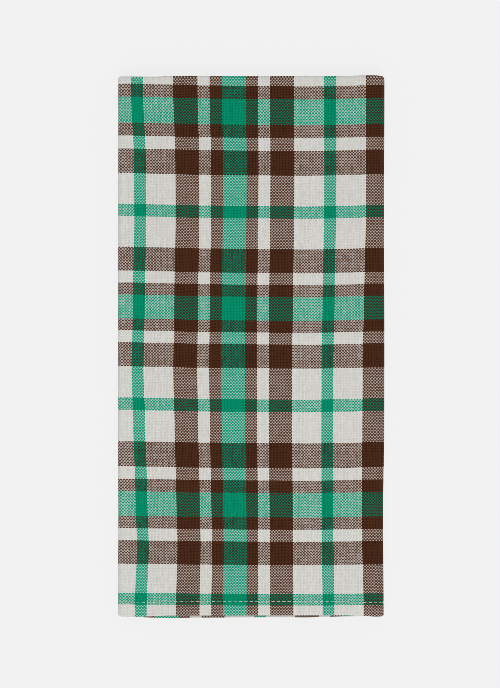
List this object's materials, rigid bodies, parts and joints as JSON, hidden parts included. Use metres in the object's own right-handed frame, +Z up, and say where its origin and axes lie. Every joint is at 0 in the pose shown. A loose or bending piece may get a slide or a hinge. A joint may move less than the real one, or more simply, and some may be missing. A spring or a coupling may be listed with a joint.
{
  "type": "folded cloth napkin",
  "caption": "Checked cotton table napkin with turned hems, folded lengthwise and then across into a flat narrow pad that lies on a table beside a place setting.",
  "frame": {"origin": "under the middle of the folded napkin, on the surface it lies on", "axes": "+X toward the single thick fold, +Y toward the first fold, away from the hem edges, +Z up"},
  "size_m": [0.123, 0.2522, 0.0117],
  "materials": {
    "cloth": "matt plain-woven cotton, checked in off-white, dark brown and green"
  },
  "bodies": {
    "root": {"napkin": "cloth"}
  },
  "joints": []
}
